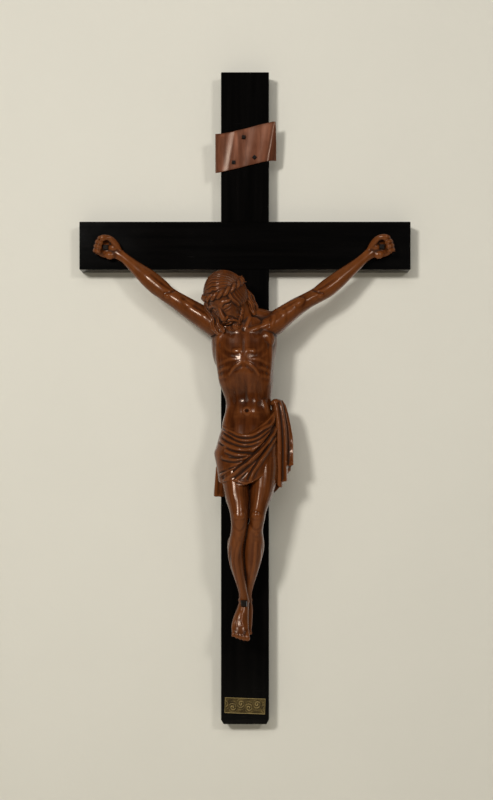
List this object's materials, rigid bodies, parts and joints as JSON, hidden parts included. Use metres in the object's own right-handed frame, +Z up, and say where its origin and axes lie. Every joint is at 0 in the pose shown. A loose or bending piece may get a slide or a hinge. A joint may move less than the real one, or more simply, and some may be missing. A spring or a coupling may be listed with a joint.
{
  "type": "wall crucifix",
  "caption": "Wall crucifix: black wooden cross of halved boards with a carved figure held by square nails, a curled title scroll, a small brass plate and a keyhole hanger at the back.",
  "frame": {"origin": "centre of the hanger's entry hole, in the plane of the back of the boards", "axes": "+Z up along the post, +Y out of the back towards the wall, +X to the viewer's right along the crossbar"},
  "size_m": [0.525, 0.1307, 1.034],
  "materials": {
    "ebonised_wood": "black stain, satin wax polish",
    "carved_wood": "red-brown polish, glossy, darker in the hollows",
    "dowel_wood": "plain",
    "iron": "forged, blackened",
    "brass": "tarnished",
    "steel": "bright"
  },
  "bodies": {
    "root": {"post": "ebonised_wood", "crossbar": "ebonised_wood", "lap_screws": "steel", "corpus_trunk": "carved_wood", "right_arm": "carved_wood", "left_arm": "carved_wood", "right_shoulder_dowel": "dowel_wood", "left_shoulder_dowel": "dowel_wood", "loincloth_fall": "carved_wood", "loincloth_fall_dowel": "dowel_wood", "right_hand_nail": "iron", "left_hand_nail": "iron", "feet_nail": "iron", "title_scroll": "carved_wood", "scroll_nails": "iron", "foot_plate": "brass", "hanger_plate": "brass", "hanger_screws": "steel"}
  },
  "joints": []
}
